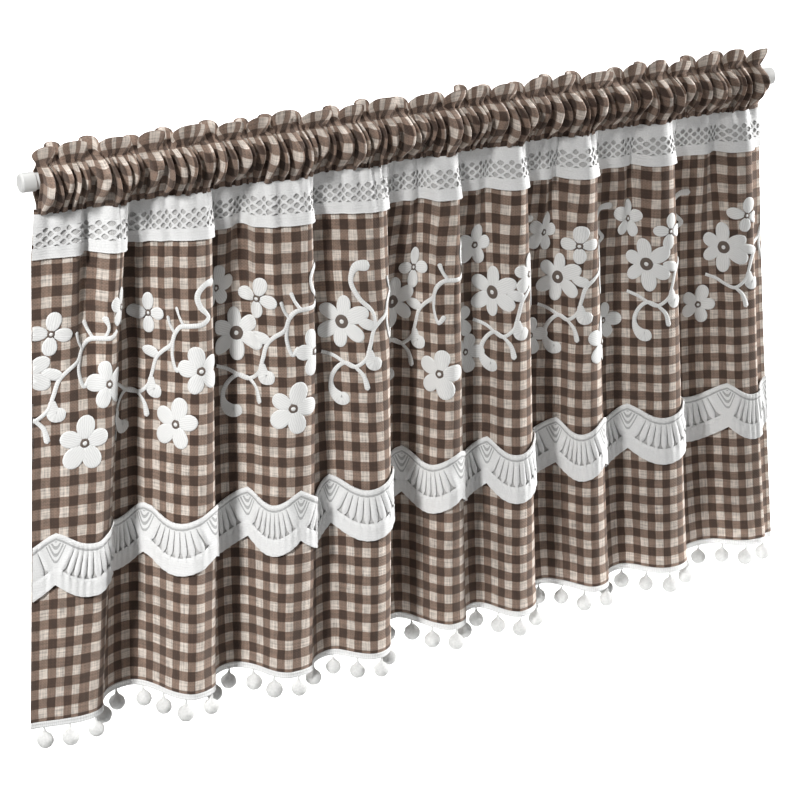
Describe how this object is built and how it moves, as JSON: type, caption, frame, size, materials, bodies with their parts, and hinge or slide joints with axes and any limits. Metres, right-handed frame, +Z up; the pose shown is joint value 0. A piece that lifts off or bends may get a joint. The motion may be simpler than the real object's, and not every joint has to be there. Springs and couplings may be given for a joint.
{
  "type": "kitchen curtain on a rod",
  "caption": "Short gathered gingham kitchen curtain with lace bands and a pompom hem, shirred on a thin white rod with end caps.",
  "frame": {"origin": "centre of the flat outer end face of the rod's left cap, on the rod's axis", "axes": "+X along the rod from left to right as seen from the room, +Z up, and the front of the cloth faces -Y"},
  "size_m": [0.7531, 0.0703, 0.4987],
  "materials": {
    "rod": "white semi-gloss enamel on a thin steel tube",
    "rod_cap": "white moulded plastic, satin",
    "gingham": "brown and beige slubby linen-look gingham, matt",
    "lace": "white cotton lace, matt",
    "yarn": "white fluffy yarn, matt"
  },
  "bodies": {
    "root": {"rod": "rod", "rod_cap_left": "rod_cap", "rod_cap_right": "rod_cap", "heading": "gingham", "panel": "gingham", "lace_band": "lace", "scallop_lace": "lace", "pompom_trim": "yarn"}
  },
  "joints": []
}
